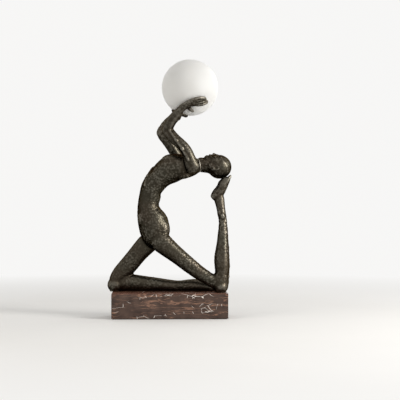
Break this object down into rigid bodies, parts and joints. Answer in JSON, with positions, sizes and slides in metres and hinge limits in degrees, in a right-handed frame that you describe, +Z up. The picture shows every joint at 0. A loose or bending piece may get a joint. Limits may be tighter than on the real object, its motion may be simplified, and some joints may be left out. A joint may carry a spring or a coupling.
{
  "type": "figural table lamp",
  "caption": "Table lamp: a dark cast figure kneels in a back-bend on a veined marble block and holds a white opal glass globe overhead with both hands.",
  "frame": {"origin": "middle of the marble block's underside, on the surface that the lamp stands on", "axes": "+Z up, +X along the block toward the upright shin, +Y away from the viewer of the pictured side"},
  "size_m": [0.265, 0.1226, 0.5495],
  "materials": {
    "patinated_bronze": "dark brown-black patinated casting with a hammered, pitted skin",
    "marble": "polished dark brown marble with rust and white veins",
    "felt": "black wool felt",
    "zinc_steel": "zinc-plated",
    "brass_fitting": "turned",
    "bronze_cap": "dark patinated, turned",
    "black_plastic": "moulded",
    "white_plastic": "moulded",
    "ceramic": "unglazed steatite",
    "silicone": "translucent white",
    "aluminium_ring": "turned",
    "opal_glass": "satin opal glass",
    "frosted_glass": "frosted",
    "lead_jacket": "heat-resistant insulation"
  },
  "bodies": {
    "lamp": {"base_block": "marble", "felt_pad": "felt", "bottom_cover": "zinc_steel", "cover_screws": "zinc_steel", "inlet_grommet": "black_plastic", "cord_clamp": "white_plastic", "clamp_screws": "zinc_steel", "terminal_block": "white_plastic", "terminal_screws": "zinc_steel", "cable_tube": "zinc_steel", "tube_washer": "zinc_steel", "tube_nut": "zinc_steel", "leg_studs": "zinc_steel", "stud_washers": "zinc_steel", "stud_nuts": "zinc_steel", "torso": "patinated_bronze", "head": "patinated_bronze", "near_arm": "patinated_bronze", "far_arm": "patinated_bronze", "near_leg": "patinated_bronze", "far_leg": "patinated_bronze", "gallery_bracket": "patinated_bronze", "gallery_cap": "bronze_cap", "holder_nipple": "brass_fitting", "lamp_holder": "ceramic", "holder_contacts": "brass_fitting", "inner_lead": "lead_jacket"},
    "gasket": {"globe_gasket": "silicone"},
    "globe": {"opal_globe": "opal_glass", "globe_collar": "aluminium_ring"},
    "bulb": {"bulb_base": "ceramic", "bulb_capsule": "frosted_glass", "bulb_pins": "zinc_steel"}
  },
  "joints": [
    {"name": "globe_rise", "type": "slide", "parent": "lamp", "child": "gasket", "axis": [0.3746, 0, 0.9272], "range_m": [0, 0.0045]},
    {"name": "globe_unscrew", "type": "hinge", "parent": "gasket", "child": "globe", "pos_m": [0.04315, 0, 0.48948], "axis": [0.3746, 0, 0.9272], "range_deg": [0, 1080]},
    {"name": "bulb_pull", "type": "slide", "parent": "lamp", "child": "bulb", "axis": [0.3746, 0, 0.9272], "range_m": [0, 0.01]}
  ],
  "couplings": [
    {"joint": "globe_rise", "follows": "globe_unscrew", "m_per_rad": 0.00023873}
  ]
}
